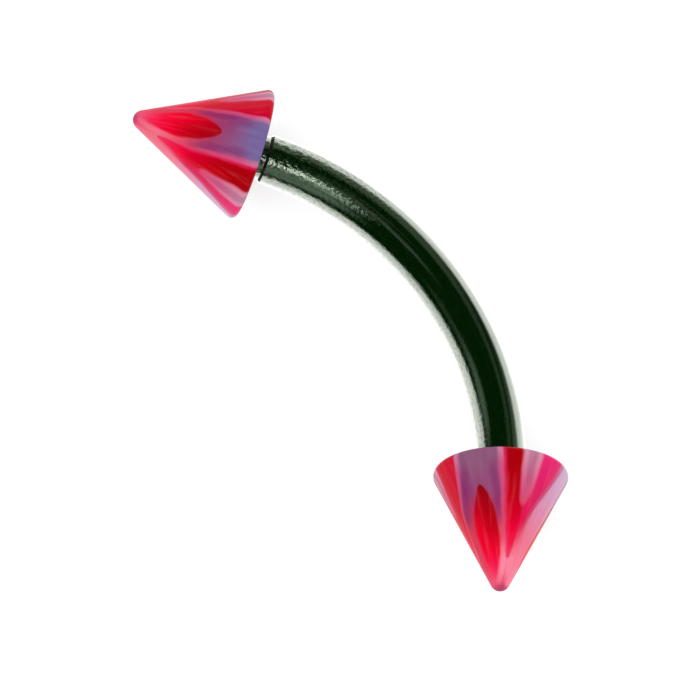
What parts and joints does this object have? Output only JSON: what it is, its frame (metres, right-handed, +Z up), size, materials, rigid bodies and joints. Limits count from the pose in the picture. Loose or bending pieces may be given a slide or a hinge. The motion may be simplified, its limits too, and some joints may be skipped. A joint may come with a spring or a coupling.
{
  "type": "curved eyebrow barbell",
  "caption": "Curved barbell for an eyebrow piercing: a bent steel rod with a marbled acrylic cone screwed on to each end.",
  "frame": {"origin": "on the surface that the barbell rests on, under the middle of its box", "axes": "+X along the chord of the bend from the left cone to the right cone, +Y to the side that the bend bulges to, +Z up from the surface"},
  "size_m": [0.0146, 0.0038, 0.003],
  "materials": {
    "polished_steel": "polished",
    "marbled_acrylic": "gloss"
  },
  "bodies": {
    "bar": {"curved_bar": "polished_steel"},
    "left_cone": {"left_cone": "marbled_acrylic"},
    "right_cone": {"right_cone": "marbled_acrylic"}
  },
  "joints": [
    {"name": "left_cone_unscrew", "type": "slide", "parent": "bar", "child": "left_cone", "axis": [-0.7771, -0.5435, 0.3172], "range_m": [0, 0.002]},
    {"name": "right_cone_unscrew", "type": "slide", "parent": "bar", "child": "right_cone", "axis": [0.7771, -0.5435, 0.3172], "range_m": [0, 0.002]}
  ]
}
